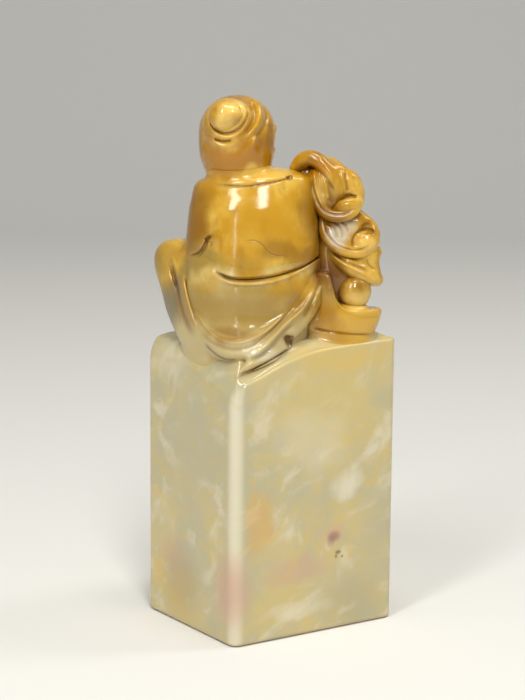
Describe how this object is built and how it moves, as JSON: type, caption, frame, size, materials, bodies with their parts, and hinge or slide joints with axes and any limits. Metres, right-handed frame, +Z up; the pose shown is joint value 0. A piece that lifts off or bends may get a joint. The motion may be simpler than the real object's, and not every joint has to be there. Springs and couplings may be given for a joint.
{
  "type": "carved stone seal stamp",
  "caption": "Upright rectangular soapstone seal with a flat uncut seal face below and a carved seated robed figure beside a fungus and an ingot as its knob.",
  "frame": {"origin": "centre of the flat seal face that the stamp stands on", "axes": "+Z up from the seal face to the figure's head; +X and +Y square to the block's sides, with the wider sides facing +Y and -Y; the figure looks towards -X and -Y, over the edge between those sides"},
  "size_m": [0.03, 0.0252, 0.0815],
  "materials": {
    "block_stone": "polished",
    "pale_stone": "polished",
    "figure_stone": "polished",
    "dark_stone": "polished"
  },
  "bodies": {
    "root": {"seal_block": "block_stone", "head": "figure_stone", "hair_cap": "dark_stone", "topknot": "dark_stone", "hair_coil": "dark_stone", "left_ear": "figure_stone", "right_ear": "figure_stone", "neck": "figure_stone", "collar": "figure_stone", "upper_robe": "figure_stone", "left_leg": "figure_stone", "left_sleeve": "figure_stone", "left_hand": "figure_stone", "robe_hem": "pale_stone", "left_drape": "figure_stone", "right_drape": "pale_stone", "lower_robe": "pale_stone", "right_leg": "figure_stone", "hem_fold": "figure_stone", "sash": "dark_stone", "right_sleeve": "figure_stone", "front_hem": "pale_stone", "left_foot": "figure_stone", "right_foot": "figure_stone", "ingot_dome": "dark_stone", "ingot_boat": "figure_stone", "upper_cap": "figure_stone", "crest_cap": "figure_stone", "middle_cap": "figure_stone", "lower_cap": "figure_stone", "right_hand": "figure_stone", "fungus_stem": "dark_stone"}
  },
  "joints": []
}
